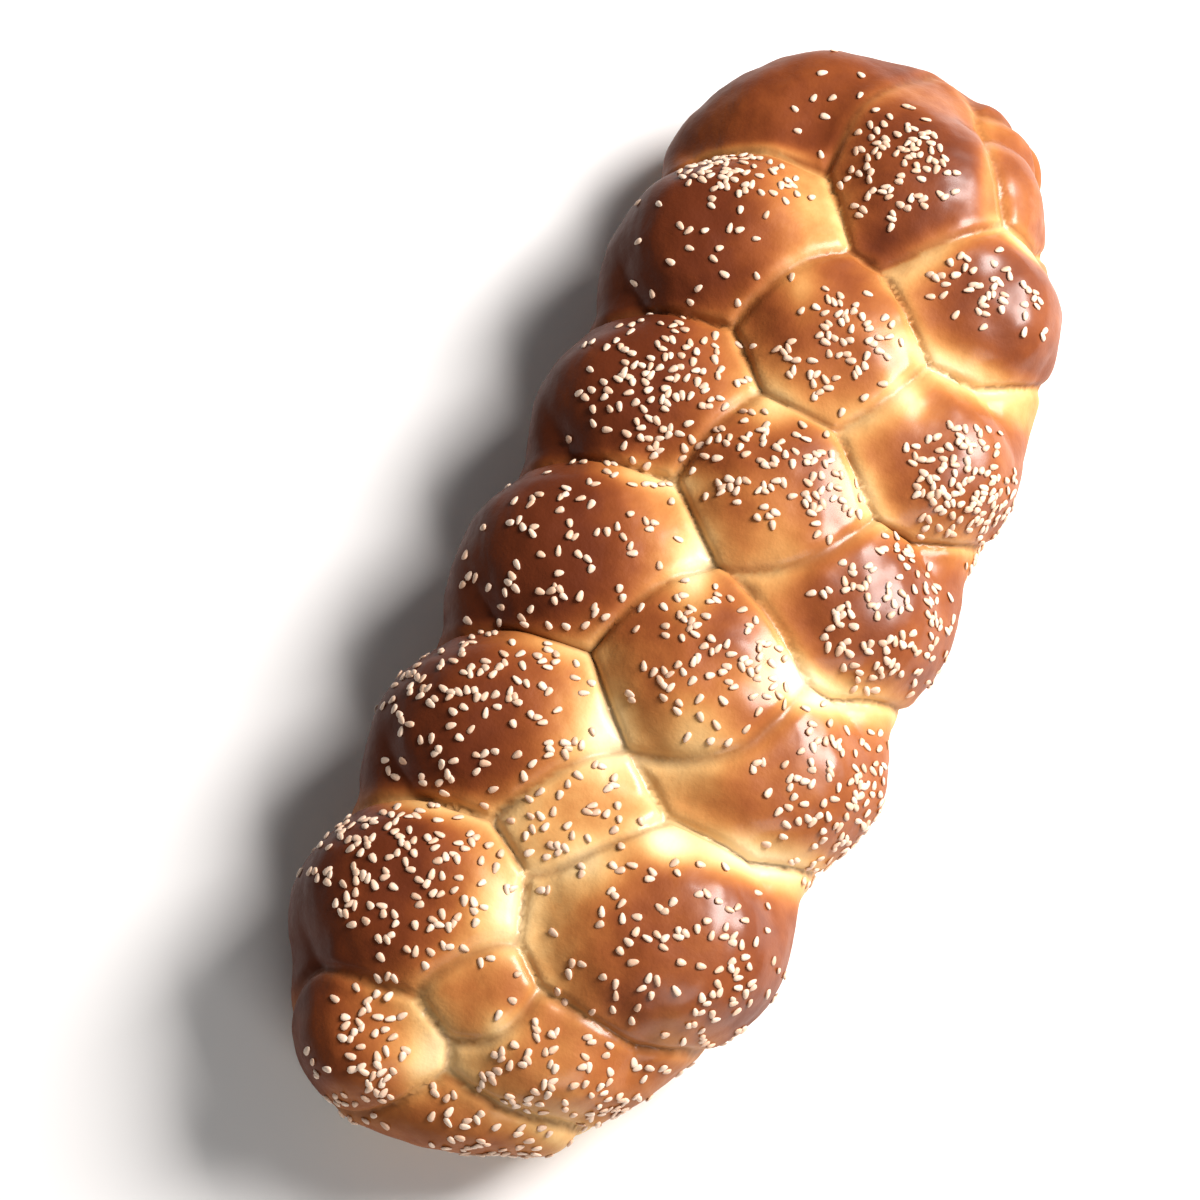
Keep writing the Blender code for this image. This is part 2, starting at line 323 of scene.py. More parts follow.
@dataclass
class Dough:
    """The risen dough as a distance field: flattened balls strung along each rope, fused."""

    lines: list[Array]
    flattening: float = 0.80
    fullness: float = 2.8
    crease: float = 13.0
    groove: tuple[float, float] = (1.8, 2.1)
    far: float = 18.0
    skin: float = 2.3
    core_centre: tuple[float, float, float] = (4, 8, 18)
    core_half: tuple[float, float, float] = (62, 174, 27)
    core_power: float = 3.0
    knot: tuple[float, float, float] = (-14, 178, 20)
    knot_fill: float = 8.0
    window: int = 3
    chunk: int = 20000

    def span(self, across: Array, above: Array) -> Array:
        """The length of an offset, by which a rope's section bulges fuller than an ellipse.

        Args:
            across: The square of its length in plan.
            above: Its height.

        Returns:
            The length.
        """
        power = self.fullness
        up = np.abs(above / self.flattening) ** power
        return (np.power(across, power / 2) + up) ** (1 / power)

    def core(self, points: Array) -> Array:
        """The rough distance to the rounded slab inside the loaf.

        Args:
            points: Places, in the last axis.

        Returns:
            One value a place.
        """
        shares = [
            np.abs((points[..., k] - self.core_centre[k]) / self.core_half[k]) ** self.core_power
            for k in range(3)
        ]
        return (sum(shares) ** (1 / self.core_power) - 1) * self.core_half[2]

    def fuse(self, parts: list[Array], points: Array) -> Array:
        """Blends the parts' distances, and cuts a thin groove where two ropes meet.

        Args:
            parts: The distance to each rope and to the core.
            points: Where they were taken.

        Returns:
            The fused distance, zero on the crust.
        """
        x, y, reach = self.knot
        away = ((points[..., 0] - x) ** 2 + (points[..., 1] - y) ** 2) / reach**2
        blend = self.crease + self.knot_fill * np.exp(-away)
        whole = parts[0]
        for part in parts[1:]:
            near = np.maximum(blend - np.abs(whole - part), 0) / blend
            whole = np.minimum(whole, part) - near * near * blend / 4
        ranked = np.partition(np.stack(parts[:-1]), 1, axis=0)
        depth, width = self.groove
        groove = depth * np.exp(-(((ranked[1] - ranked[0]) / width) ** 2)) * (1 - np.exp(-away))
        return whole + self.skin + groove

    def grid(self, spacing: float) -> tuple[Array, Array]:
        """The field on a regular grid.

        Args:
            spacing: The grid's pitch.

        Returns:
            The values, and the grid's lowest corner.
        """
        spread = np.vstack(self.lines)
        low = (spread[:, :3] - spread[:, 3:]).min(axis=0) - 3 * spacing
        high = (spread[:, :3] + spread[:, 3:]).max(axis=0) + 3 * spacing
        low[2] = -2.5 * spacing
        counts = ((high - low) / spacing).astype(int) + 1
        axes = [low[k] + spacing * np.arange(counts[k]) for k in range(3)]
        parts = []
        for line in self.lines:
            values = np.full(counts, self.far, np.float32)
            for ball in line:
                reach = ball[3] + self.far
                first = np.maximum(0, ((ball[:3] - reach - low) / spacing).astype(int))
                last = np.minimum(counts, ((ball[:3] + reach - low) / spacing).astype(int) + 2)
                x, y, z = (axes[k][first[k] : last[k]] - ball[k] for k in range(3))
                across = (x**2)[:, None, None] + (y**2)[:, None]
                block = values[tuple(slice(a, b) for a, b in zip(first, last))]
                away = self.span(across.astype(np.float32), z.astype(np.float32)) - ball[3]
                np.minimum(block, away, out=block)
            parts.append(values)
        points = np.stack(np.meshgrid(*axes, indexing="ij"), axis=-1)
        parts.append(self.core(points).astype(np.float32))
        return np.maximum(self.fuse(parts, points), -points[..., 2]), low

    def nearest_balls(self, points: Array) -> list[Array]:
        """Finds the ball of each rope that is nearest to each point.

        Args:
            points: Places, one a row.

        Returns:
            For each rope, one index a point.
        """
        found = []
        for line in self.lines:
            balls = line.astype(np.float32)
            index = np.empty(len(points), int)
            for start in range(0, len(points), self.chunk):
                some = points[start : start + self.chunk].astype(np.float32)
                offset = some[:, None] - balls[:, :3]
                away = self.span((offset[..., :2] ** 2).sum(axis=2), offset[..., 2])
                index[start : start + self.chunk] = (away - balls[:, 3]).argmin(axis=1)
            found.append(index)
        return found

    def rope_distances(self, points: Array, nearest: list[Array]) -> list[Array]:
        """The distance from each point to each rope.

        Args:
            points: Places, one a row.
            nearest: What nearest_balls gave for them.

        Returns:
            One array a rope.
        """
        found = []
        for line, index in zip(self.lines, nearest):
            best = np.full(len(points), np.inf)
            for shift in range(-self.window, self.window + 1):
                ball = line[np.clip(index + shift, 0, len(line) - 1)]
                offset = points - ball[:, :3]
                across = (offset[:, :2] ** 2).sum(axis=1)
                best = np.minimum(best, self.span(across, offset[:, 2]) - ball[:, 3])
            found.append(best)
        return found

    def value(self, points: Array, nearest: list[Array]) -> Array:
        """The fused distance at each point."""
        return self.fuse([*self.rope_distances(points, nearest), self.core(points)], points)

    def slope(self, points: Array, nearest: list[Array], reach: float = 0.3) -> Array:
        """The field's gradient, by differences.

        Args:
            points: Places, one a row.
            nearest: What nearest_balls gave for them.
            reach: Half the distance over which the differences are taken.

        Returns:
            One vector a point.
        """
        slope = np.zeros_like(points)
        for k, step in enumerate(np.eye(3) * reach):
            ahead, behind = self.value(points + step, nearest), self.value(points - step, nearest)
            slope[:, k] = (ahead - behind) / (2 * reach)
        return slope


def surface_net(values: Array, low: Array, spacing: float) -> tuple[Array, Array]:
    """Quads around the region where a grid's values are negative, facing out of it.

    Args:
        values: The grid's values.
        low: The grid's lowest corner.
        spacing: The grid's pitch.

    Returns:
        Vertices, and faces of four indices each.
    """
    inside = values < 0
    corners = [(i, j, k) for i in (0, 1) for j in (0, 1) for k in (0, 1)]
    cells = np.array(values.shape) - 1
    filled = np.zeros(cells, np.int8)
    for corner in corners:
        filled += inside[tuple(slice(c, c + n) for c, n in zip(corner, cells))]
    at = np.argwhere((filled > 0) & (filled < len(corners)))
    numbers = np.full(cells, -1)
    numbers[tuple(at.T)] = np.arange(len(at))
    total, crossings = np.zeros((len(at), 3)), np.zeros(len(at))
    for corner in corners:
        for axis in range(3):
            if corner[axis]:
                continue
            start, step = np.array(corner), np.eye(3, dtype=int)[axis]
            a, b = values[tuple((at + start).T)], values[tuple((at + start + step).T)]
            crosses = (a < 0) != (b < 0)
            share = np.where(crosses, a / np.where(crosses, a - b, 1), 0)
            total += (start + share[:, None] * step) * crosses[:, None]
            crossings += crosses
    vertices = (at + total / crossings[:, None]) * spacing + low
    faces = []
    for axis in range(3):
        u, v = (axis + 1) % 3, (axis + 2) % 3
        near = tuple(slice(0, -1) if k == axis else slice(None) for k in range(3))
        away = tuple(slice(1, None) if k == axis else slice(None) for k in range(3))
        edges = np.argwhere(inside[near] != inside[away])
        outward = inside[near][tuple(edges.T)]
        ring = []
        for du, dv in ((-1, -1), (0, -1), (0, 0), (-1, 0)):
            cell = edges.copy()
            cell[:, u] += du
            cell[:, v] += dv
            ring.append(numbers[tuple(cell.T)])
        quads = np.stack(ring, axis=1)
        quads[~outward] = quads[~outward][:, ::-1]
        faces.append(quads)
    return vertices, np.vstack(faces)


@dataclass
class Seeds:
    """Sesame seeds sprinkled on the crust: where they fell, and the shape of one."""

    length: float = 3.5
    width: float = 2.2
    thickness: float = 1.0
    lift: float = 0.32
    lean: float = 0.22
    around: int = 7
    rings: int = 5
    spacing: float = 1.6
    most: float = 0.25
    lost: float = 1.7
    drawn: int = 7
    sprinkles: tuple[Patch, ...] = (
        Patch(-25, 173, 20, 18, 0, 25),
        Patch(3, 158, 15, 17, 0, 70),
        Patch(44, 130, 18, 12, 0, 55),
        Patch(-46, 134, 16, 9, 15, 50),
        Patch(-38, 110, 30, 22, 0, 32),
        Patch(12, 88, 17, 19, 0, 75),
        Patch(64, 68, 15, 16, 0, 92),
        Patch(-33, 54, 22, 24, 15, 140),
        Patch(14, 43, 23, 15, 0, 85),
        Patch(60, 20, 18, 20, 0, 85),
        Patch(-36, -4, 26, 30, 0, 85),
        Patch(21, -23, 20, 19, 0, 80),
        Patch(67, -40, 18, 20, 0, 80),
        Patch(-36, -65, 28, 26, 0, 110),
        Patch(5, -84, 17, 16, 0, 45),
        Patch(46, -106, 31, 26, 0, 100),
        Patch(-34, -121, 25, 20, 0, 120),
        Patch(-4, -140, 14, 9, 0, 12),
        Patch(33, -148, 21, 15, 0, 60),
        Patch(-23, -170, 13, 19, 0, 45),
        Patch(17, -176, 17, 13, 0, 45),
    )

    def density(self, points: Array, clearance: Array) -> Array:
        """Seeds per square millimetre at each point of the crust.

        Args:
            points: Places on the crust, in the plait's plan.
            clearance: How far each one is from the nearest crease.

        Returns:
            One value a point.
        """
        total = np.zeros(len(points))
        for patch in self.sprinkles:
            inside = smooth_step(-np.log(patch.cover(points) / patch.amount + 1e-9), 2.3, 0.2)
            area = math.pi * patch.reach * patch.width * 1.15
            total += inside * self.lost * patch.amount / area
        return total * smooth_step(clearance, 1.0, 3.0)


@dataclass
class Crust:
    """The loaf's crust: its mesh, how far each spot of it has baked and stretched, and the light
    and shade painted into its colour.
    """

    plait: Plait = field(default_factory=Plait)
    seeds: Seeds = field(default_factory=Seeds)
    spacing: float = 1.5
    fit_steps: int = 3
    snug: tuple[float, float, float] = (1.0, 0.991, 0.997)
    end_bake: float = 0.66
    end_reach: tuple[float, float] = (160, 184)
    seeded_above: tuple[float, float] = (12, 22)
    washed_above: tuple[float, float] = (36, 60)
    washed_right: tuple[float, float] = (-24, 16)
    lumps: tuple[tuple[float, float], ...] = ((24, 1.3), (9, 0.45), (4.5, 0.14))
    # Pale patches: partly stretched dough that baked paler, partly painted light on faces turned
    # towards the window light.
    pale: tuple[Patch, ...] = (
        Patch(-46, 147, 22, 3, 17, 0.5),
        Patch(28, 172, 15, 3, -68, 0.35),
        Patch(50, 154, 12, 3.5, -12, 0.7),
        Patch(24, 132, 16, 6, 60, 0.5),
        Patch(46, 103, 26, 7, 5, 0.8),
        Patch(-8, 104, 7, 12, 20, 0.5),
        Patch(36, 86, 6, 9, 60, 0.8),
        Patch(24, 72, 20, 9, 20, 0.5),
        Patch(0, 63, 8, 10, 0, 0.6),
        Patch(38, 50, 9, 7, -40, 0.7),
        Patch(-22, 27, 24, 5, 15, 0.6),
        Patch(2, 3, 7, 15, 20, 0.9),
        Patch(22, 20, 12, 16, 20, 0.5),
        Patch(52, -14, 24, 7, 20, 0.8),
        Patch(44, -12, 6, 12, 60, 0.7),
        Patch(-25, -36, 22, 5, 15, 0.5),
        Patch(0, -55, 8, 13, 20, 0.9),
        Patch(26, -46, 14, 14, 25, 0.7),
        Patch(56, -70, 24, 8, 15, 0.95),
        Patch(30, -78, 9, 7, -30, 0.8),
        Patch(-40, -98, 22, 5, 12, 0.7),
        Patch(-3, -118, 9, 11, 20, 0.7),
        Patch(14, -95, 12, 8, 20, 0.6),
        Patch(10, -150, 6, 6, 0, 0.6),
        Patch(-6, -166, 6, 12, 0, 0.6),
    )

    def make(self) -> bpy.types.Object:
        """Builds the crust's mesh with its attributes, at its place in the row frame."""
        dough = Dough(self.plait.centre_lines(), self.plait.flattening)
        values, low = dough.grid(self.spacing)
        points, faces = surface_net(values, low, self.spacing)
        nearest = dough.nearest_balls(points)
        points = self.settle(dough, points, nearest)
        points = self.roughen(dough, points, nearest) * self.snug
        obj = mesh_object("loaf_crust", points, faces, self.offset(points))
        ropes = np.array(dough.rope_distances(points, nearest))
        ranked = np.sort(ropes, axis=0)
        clearance = ranked[1] - ranked[0]
        bake, pale = self.baking(points, ropes.argmin(axis=0), clearance)
        write_attribute(obj, "clearance", clearance)
        seeding = self.seeds.density(points, clearance) / self.seeds.most
        seeding = seeding * smooth_step(points[:, 2], *self.seeded_above)
        write_attribute(obj, "seeding", np.clip(seeding, 0, 1))
        LOG.info("plan moved by %s mm", self.offset(points).round(2))
        write_attribute(obj, "bake", bake)
        write_attribute(obj, "pale", pale)
        write_attribute(obj, "wash", self.wash(points, pale))
        return obj

    def wash(self, points: Array, pale: Array) -> Array:
        """How much egg wash each spot got: most on the tops and on the right.

        Args:
            points: Places on the crust, in the plait's plan.
            pale: How pale each one is, from stretched dough and from painted light.

        Returns:
            A share from 0 to 1 for each spot.
        """
        high = smooth_step(points[:, 2], *self.washed_above)
        right = smooth_step(points[:, 0], *self.washed_right)
        return high * (1 - 0.6 * pale) * (0.2 + 0.8 * right)

    def settle(self, dough: Dough, points: Array, nearest: list[Array]) -> Array:
        """Moves the net's points onto the field's true surface, and keeps the base flat.

        Args:
            dough: The field.
            points: The net's points.
            nearest: The balls nearest to them.

        Returns:
            The moved points.
        """
        reach = self.spacing
        free = points[:, 2] > 0.4 * self.spacing
        index = [one[free] for one in nearest]
        moved = points[free]
        for _ in range(self.fit_steps):
            value, slope = dough.value(moved, index), dough.slope(moved, index)
            size = np.maximum((slope * slope).sum(axis=1), 0.2)
            moved = moved - np.clip(value / size, -reach, reach)[:, None] * slope
        settled = points.copy()
        settled[free] = moved
        settled[:, 2] = np.where(free, np.maximum(settled[:, 2], 0), 0)
        return settled

    def roughen(self, dough: Dough, points: Array, nearest: list[Array]) -> Array:
        """Gives the skin the lumps and dimples of risen dough.

        Args:
            dough: The field.
            points: Places on its surface.
            nearest: The balls nearest to them.

        Returns:
            The moved points.
        """
        slope = dough.slope(points, nearest)
        out = slope / np.maximum(np.linalg.norm(slope, axis=1), 1e-6)[:, None]
        height = np.zeros(len(points))
        for length, depth in self.lumps:
            height += depth * np.array([noise.noise(Vector(p) / length) for p in points])
        high = smooth_step(points[:, 2], 1.5, 12)
        return points + out * (height * high)[:, None]

    def offset(self, points: Array) -> Array:
        """How far the plan is moved to sit in the middle of the CAD solid's box.

        Args:
            points: The crust's points, in the plait's plan.

        Returns:
            The move.
        """
        low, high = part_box("loaf")
        middle = [(a + b) / 2 / MM for a, b in zip(low, high)]
        mine = (points.min(axis=0) + points.max(axis=0)) / 2
        return np.array([middle[0] - mine[0], middle[1] - mine[1], 0])

    def shade(self, column: Column, inward: Array, across: Array, along: Array) -> Array:
        """How much of its full browning each spot of a lobe has got; on the left column this is
        partly painted shade and light.

        Args:
            column: The lobe's column.
            inward: How far each spot is past the crest towards the plait's middle, in radii.
            across: How far it is across the crest, towards the far end, in radii.
            along: How far it is along the crest from the lobe's middle, in radii.

        Returns:
            A share from 0 to 1 for each spot.
        """
        if column is Column.LEFT:
            # Partly painted shade and light: browner out to the left side, which faces away from
            # the light, and paler at the inner tip and near edge, which face it; the pale tip is
            # also stretched dough.
            tip = 0.32 + 0.83 * smooth_step(-inward, -0.7, 1.2)
            near = 0.62 + 0.38 * smooth_step(across, -0.95, -0.4)
            return tip * near
        if column is Column.RIGHT:
            tip = 0.42 + 0.58 * smooth_step(-inward, -0.55, 0.55)
            far = 0.55 + 0.45 * smooth_step(-across, -0.95, -0.35)
            near = 0.65 + 0.35 * smooth_step(across, -0.98, -0.6)
            return tip * far * near
        if column is Column.CENTRE:
            sides = 0.66 + 0.34 * smooth_step(-np.abs(across), -0.95, -0.4)
            ends = 0.75 + 0.25 * smooth_step(-np.abs(along), -1.35, -0.7)
            return sides * ends
        return 0.6 + 0.4 * smooth_step(across, -0.9, -0.2)

    def baking(self, points: Array, rope: Array, clearance: Array) -> tuple[Array, Array]:
        """How brown and how pale each spot is, from baking and stretching, and in part from
        painted light and shade.

        Args:
            points: Places on the crust, in the plait's plan.
            rope: The rope that each one is on.
            clearance: How far each one is from the nearest crease.

        Returns:
            The bake and the paleness, each from 0 to 1.
        """
        lobes = self.plait.lobes()
        weights, bakes = np.zeros(len(points)), np.zeros(len(points))
        for number in range(len(self.plait.routes)):
            for name in self.plait.rope_lobes(number):
                lobe = lobes[name]
                cos, sin = lobe.along()
                dx, dy = points[:, 0] - lobe.x, points[:, 1] - lobe.y
                along, across = dx * cos + dy * sin, (dy * cos - dx * sin) / lobe.radius
                inward = along if name[0] == Column.LEFT.value else -along
                inward = (inward - lobe.half) / lobe.radius
                away = np.hypot(dx, dy) / (lobe.radius + 0.5 * lobe.half)
                weight = (rope == number) / (0.02 + away**6)
                weights += weight
                share = self.shade(Column(name[0]), inward, across, along / lobe.radius)
                bakes += weight * lobe.bake * share
        bake = bakes / np.maximum(weights, 1e-9)
        at_end = smooth_step(np.abs(points[:, 1] - 4), *self.end_reach)
        bake = np.maximum(bake, self.end_bake * at_end)
        # Paleness: stretched dough, and in part painted light where faces turn towards the light.
        pale = np.clip(sum(patch.cover(points) for patch in self.pale), 0, 1)
        low_down = smooth_step(points[:, 2], 2, 26)
        margin = 0.86 + 0.14 * smooth_step(clearance, 0.5, 6)
        return np.clip(bake * margin * (0.45 + 0.55 * low_down), 0, 1), pale


def linked(name: str, data: bpy.types.ID) -> bpy.types.Object:
    """A new object in the scene that holds the data."""
    obj = bpy.data.objects.new(name, data)
    bpy.context.scene.collection.objects.link(obj)
    return obj


def mesh_object(name: str, points: Array, faces: Array, offset: Array) -> bpy.types.Object:
    """A smooth-shaded mesh object in the scene.

    Args:
        name: The object's name.
        points: Vertices in millimetres.
        faces: Indices, one face a row.
        offset: What is added to every vertex, in millimetres.

    Returns:
        The new object.
    """
    mesh = bpy.data.meshes.new(name)
    mesh.from_pydata(((points + offset) * MM).tolist(), [], faces.tolist())
    mesh.shade_smooth()
    obj = linked(name, mesh)
    return obj


def write_attribute(obj: bpy.types.Object, name: str, values: Array) -> None:
    """Stores one number a vertex on an object's mesh.

    Args:
        obj: The mesh object.
        name: The attribute's name.
        values: One number a vertex.
    """
    made = obj.data.attributes.new(name, "FLOAT", "POINT")
    made.data.foreach_set("value", values.astype(np.float32))


@dataclass
class NodeBoard:
    """Puts nodes in a tree and wires them."""

    tree: bpy.types.NodeTree

    def add(self, kind: str, values: dict | None = None, **settings: object) -> bpy.types.Node:
        """Adds a node.

        Args:
            kind: The node's type name.
            values: Input values by socket name or number. A socket there is wired instead.
            settings: The node's own properties.

        Returns:
            The node.
        """
        node = self.tree.nodes.new(kind)
        for name, value in settings.items():
            setattr(node, name, value)
        self.feed(node, values or {})
        return node

    def feed(self, node: bpy.types.Node, values: dict) -> None:
        """Sets or wires a node's inputs.

        Args:
            node: The node.
            values: Numbers, colours or sockets, by socket name or number.
        """
        for name, value in values.items():
            if isinstance(value, bpy.types.NodeSocket):
                self.tree.links.new(value, node.inputs[name])
            else:
                node.inputs[name].default_value = value

    def math(self, operation: str, *values: object) -> bpy.types.NodeSocket:
        """A Math node's result, from numbers and sockets."""
        node = self.add("ShaderNodeMath", dict(enumerate(values)), operation=operation)
        return node.outputs[0]

    def attribute(self, name: str) -> bpy.types.NodeSocket:
        """One number stored on the mesh."""
        node = self.add("ShaderNodeAttribute", attribute_name=name)
        return node.outputs["Fac"]

    def group(self, tree: bpy.types.NodeTree, values: dict) -> bpy.types.Node:
        """A group's node, with its inputs set or wired."""
        return self.add("ShaderNodeGroup", values, node_tree=tree)

    def mix(self, share: bpy.types.NodeSocket, first: object, second: object) -> object:
        """A colour between two, each a colour or a socket."""
        return self.add(
            "ShaderNodeMix", {0: share, 6: first, 7: second}, data_type="RGBA"
        ).outputs[2]


def group_tree(name: str, kind: str, inputs: dict[str, str], outputs: dict[str, str]) -> tuple:
    """A node group with its sockets.

    Args:
        name: The group's name.
        kind: The tree's type name.
        inputs: Socket types by name.
        outputs: The same for what it puts out.

    Returns:
        The tree, a board on it, its input node and its output node.
    """
    tree = bpy.data.node_groups.new(name, kind)
    for side, sockets in (("INPUT", inputs), ("OUTPUT", outputs)):
        for label, socket in sockets.items():
            tree.interface.new_socket(name=label, in_out=side, socket_type=socket)
    board = NodeBoard(tree)
    return tree, board, board.add("NodeGroupInput"), board.add("NodeGroupOutput")


@dataclass
class Effects:
    """Shader groups that the materials share."""

    mottle: bpy.types.NodeTree | None = None
    browning: bpy.types.NodeTree | None = None
    skin: bpy.types.NodeTree | None = None

    def build(self) -> "Effects":
        """Makes every group."""
        self.mottle = self.make_mottle()
        self.browning = self.make_browning()
        self.skin = self.make_skin()
        return self

    def make_mottle(self) -> bpy.types.NodeTree:
        """Soft uneven blotches, from -1 to 1."""
        tree, board, given, out = group_tree(
            "mottle",
            "ShaderNodeTree",
            {"Scale": "NodeSocketFloat", "Detail": "NodeSocketFloat"},
            {"Value": "NodeSocketFloat"},
        )
        place = board.add("ShaderNodeTexCoord").outputs["Object"]
        blotches = board.add(
            "ShaderNodeTexNoise",
            {"Vector": place, "Scale": given.outputs["Scale"], "Detail": given.outputs["Detail"]},
        )
        spread = board.math("MULTIPLY_ADD", blotches.outputs[0], 4.0, -2.0)
        tree.links.new(spread, out.inputs["Value"])
        return tree

    def make_browning(self) -> bpy.types.NodeTree:
        """The crust's colour from how far it has baked: cream, gold, chestnut, umber."""
        tree, board, given, out = group_tree(
            "browning",
            "ShaderNodeTree",
            {"Bake": "NodeSocketFloat"},
            {"Colour": "NodeSocketColor"},
        )
        ramp = board.add("ShaderNodeValToRGB", {"Fac": given.outputs["Bake"]})
        ramp.color_ramp.interpolation = "B_SPLINE"
        while len(ramp.color_ramp.elements) < len(CRUST.stops):
            ramp.color_ramp.elements.new(1.0)
        for element, (place, colour) in zip(ramp.color_ramp.elements, CRUST.stops):
            element.position = place
            element.color = (*colour, 1.0)
        tree.links.new(ramp.outputs["Color"], out.inputs["Colour"])
        return tree

    def make_skin(self) -> bpy.types.NodeTree:
        """The height of the crust's fine pimples and creped skin."""
        tree, board, given, out = group_tree(
            "fine_skin",
            "ShaderNodeTree",
            {"Pimples": "NodeSocketFloat", "Crepe": "NodeSocketFloat"},
            {"Height": "NodeSocketFloat"},
        )
        place = board.add("ShaderNodeTexCoord").outputs["Object"]
        pimples = board.add("ShaderNodeTexNoise", {"Vector": place, "Scale": 900.0, "Detail": 2.0})
        crepe = board.add("ShaderNodeTexNoise", {"Vector": place, "Scale": 260.0, "Detail": 3.0})
        fine = board.math("MULTIPLY", pimples.outputs[0], given.outputs["Pimples"])
        broad = board.math("MULTIPLY", crepe.outputs[0], given.outputs["Crepe"])
        tree.links.new(board.math("ADD", fine, broad), out.inputs["Height"])
        return tree


@dataclass(frozen=True)
class CrustFinish:
    """Baked crust under an egg wash: cream in the stretched creases, umber on the crests."""

    stops: tuple[tuple[float, tuple[float, float, float]], ...] = (
        (0.00, (0.92, 0.79, 0.52)),
        (0.20, (0.78, 0.53, 0.23)),
        (0.38, (0.58, 0.28, 0.085)),
        (0.55, (0.40, 0.135, 0.033)),
        (0.75, (0.23, 0.054, 0.013)),
        (1.00, (0.085, 0.016, 0.005)),
    )
    # Painted shade: the colour laid along each crease in place of the shadow deep inside it.
    line: tuple[float, float, float] = (0.16, 0.055, 0.016)
    crease_shade_strength: float = 0.55
    roughness: float = 0.5
    coat: float = 0.55
    coat_roughness: float = 0.24
    specular: float = 0.12
    bump: float = 0.35

    def material(self, effects: Effects) -> bpy.types.Material:
        """Builds the material.

        Args:
            effects: The shared groups.

        Returns:
            The material.
        """
        made, board, shader = principled("crust")
        broad = board.group(effects.mottle, {"Scale": 38.0, "Detail": 2.0}).outputs[0]
        fine = board.group(effects.mottle, {"Scale": 210.0, "Detail": 4.0}).outputs[0]
        # Partly painted light: the pale attribute lightens the bake on stretched dough and on
        # faces turned towards the light.
        pale = board.attribute("pale")
        bake = board.attribute("bake")
        uneven = board.math("MULTIPLY_ADD", broad, 0.10, bake)
        uneven = board.math("MULTIPLY_ADD", fine, 0.04, uneven)
        kept = board.math("MULTIPLY_ADD", pale, -0.92, 1.0)
        done = board.math("MULTIPLY", uneven, kept)
        baked = board.group(effects.browning, {"Bake": done}).outputs[0]
        # Painted shade: within 2 mm of a crease the crust is darkened towards the crease colour,
        # standing in for the crease's shadow.
        clearance = board.attribute("clearance")
        painted_crease_shade = board.add(
            "ShaderNodeMapRange", {"Value": clearance, "From Min": 2.0, "From Max": 0.0}
        )
        strength = board.math("MULTIPLY", painted_crease_shade.outputs[0], self.crease_shade_strength)
        colour = board.mix(strength, baked, (*self.line, 1.0))
        height = board.group(effects.skin, {"Pimples": 0.5, "Crepe": 1.0}).outputs[0]
        bump = board.add(
            "ShaderNodeBump", {"Height": height, "Strength": self.bump, "Distance": 0.0005}
        )
        glaze = board.math("MULTIPLY", board.attribute("wash"), self.coat)
        rough = board.math("MULTIPLY_ADD", fine, 0.05, self.roughness)
        values = {
            "Base Color": colour,
            "Roughness": rough,
            "Coat Weight": glaze,
            "Normal": bump.outputs["Normal"],
            "Coat Roughness": self.coat_roughness,
            "Specular IOR Level": self.specular,
        }
        board.feed(shader, values)
        return made


@dataclass(frozen=True)
class SeedFinish:
    """Hulled sesame, cream to lightly toasted."""

    raw: tuple[float, float, float] = (0.80, 0.61, 0.47)
    toasted: tuple[float, float, float] = (0.66, 0.42, 0.28)
    roughness: float = 0.42

    def material(self, effects: Effects) -> bpy.types.Material:
        """Builds the material.

        Args:
            effects: The shared groups.

        Returns:
            The material.
        """
        made, board, shader = principled("sesame")
        fine = board.group(effects.mottle, {"Scale": 600.0, "Detail": 2.0}).outputs[0]
        tone = board.math("MULTIPLY_ADD", fine, 0.15, board.attribute("tone"))
        colour = board.mix(tone, (*self.raw, 1.0), (*self.toasted, 1.0))
        board.feed(shader, {"Base Color": colour, "Roughness": self.roughness})
        return made


CRUST = CrustFinish()
SESAME = SeedFinish()


def principled(name: str) -> tuple:
    """A material with a plain Principled shader.

    Args:
        name: The material's name.

    Returns:
        The material, a board on its tree, and its shader.
    """
    made = bpy.data.materials.new(name)
    made.use_nodes = True
    return made, NodeBoard(made.node_tree), made.node_tree.nodes["Principled BSDF"]


